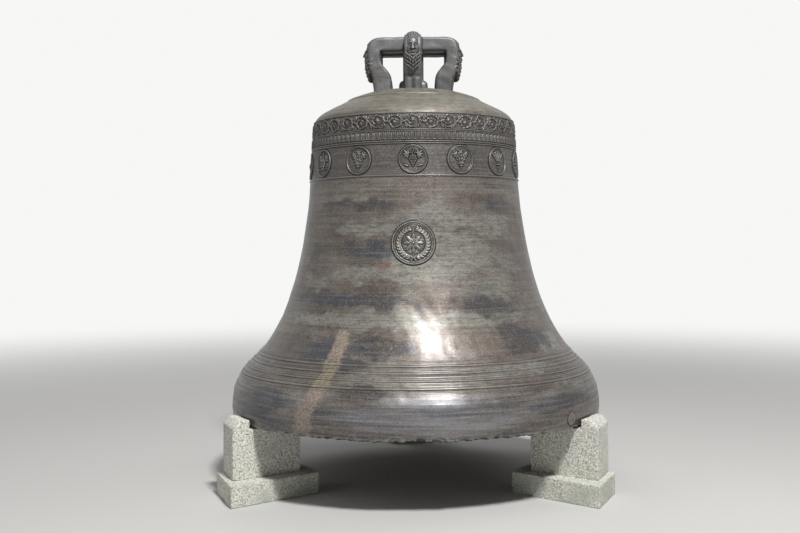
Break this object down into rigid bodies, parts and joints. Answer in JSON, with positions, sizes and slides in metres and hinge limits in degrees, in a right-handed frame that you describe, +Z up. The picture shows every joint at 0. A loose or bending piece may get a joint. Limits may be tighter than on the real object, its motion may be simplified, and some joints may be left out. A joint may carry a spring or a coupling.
{
  "type": "church bell",
  "caption": "Large cast bronze bell with a canon crown and a hinged iron clapper, standing mouth down on granite supports.",
  "frame": {"origin": "on the floor, under the bell's axis of revolution", "axes": "+Z up along the bell's axis, -Y the front with the crest medallion, +X to the right seen from the front"},
  "size_m": [2.4416, 2.5797, 2.884],
  "materials": {
    "bronze": "weathered brown patina, satin",
    "wrought_iron": "forged, dark and slightly rusty",
    "leather": "greased, dark",
    "granite": "bush-hammered, pale with dark specks"
  },
  "bodies": {
    "bell": {"bell_body": "bronze", "crown_post": "bronze", "canon_front": "bronze", "canon_rear": "bronze", "canon_left_front": "bronze", "canon_left_rear": "bronze", "canon_right_front": "bronze", "canon_right_rear": "bronze", "clapper_staple": "wrought_iron", "support_block_left": "granite", "support_block_right": "granite", "support_block_rear": "granite", "support_foot_left": "granite", "support_foot_right": "granite", "support_foot_rear": "granite"},
    "clapper": {"clapper": "wrought_iron", "hanger_strap": "wrought_iron", "staple_leather": "leather", "hanger_bolts": "wrought_iron", "hanger_washers": "wrought_iron", "hanger_nuts": "wrought_iron"}
  },
  "joints": [
    {"name": "clapper_swing", "type": "hinge", "parent": "bell", "child": "clapper", "pos_m": [0, 0, 2.24], "axis": [0, 1, 0], "range_deg": [-27.4, 27.4]}
  ]
}
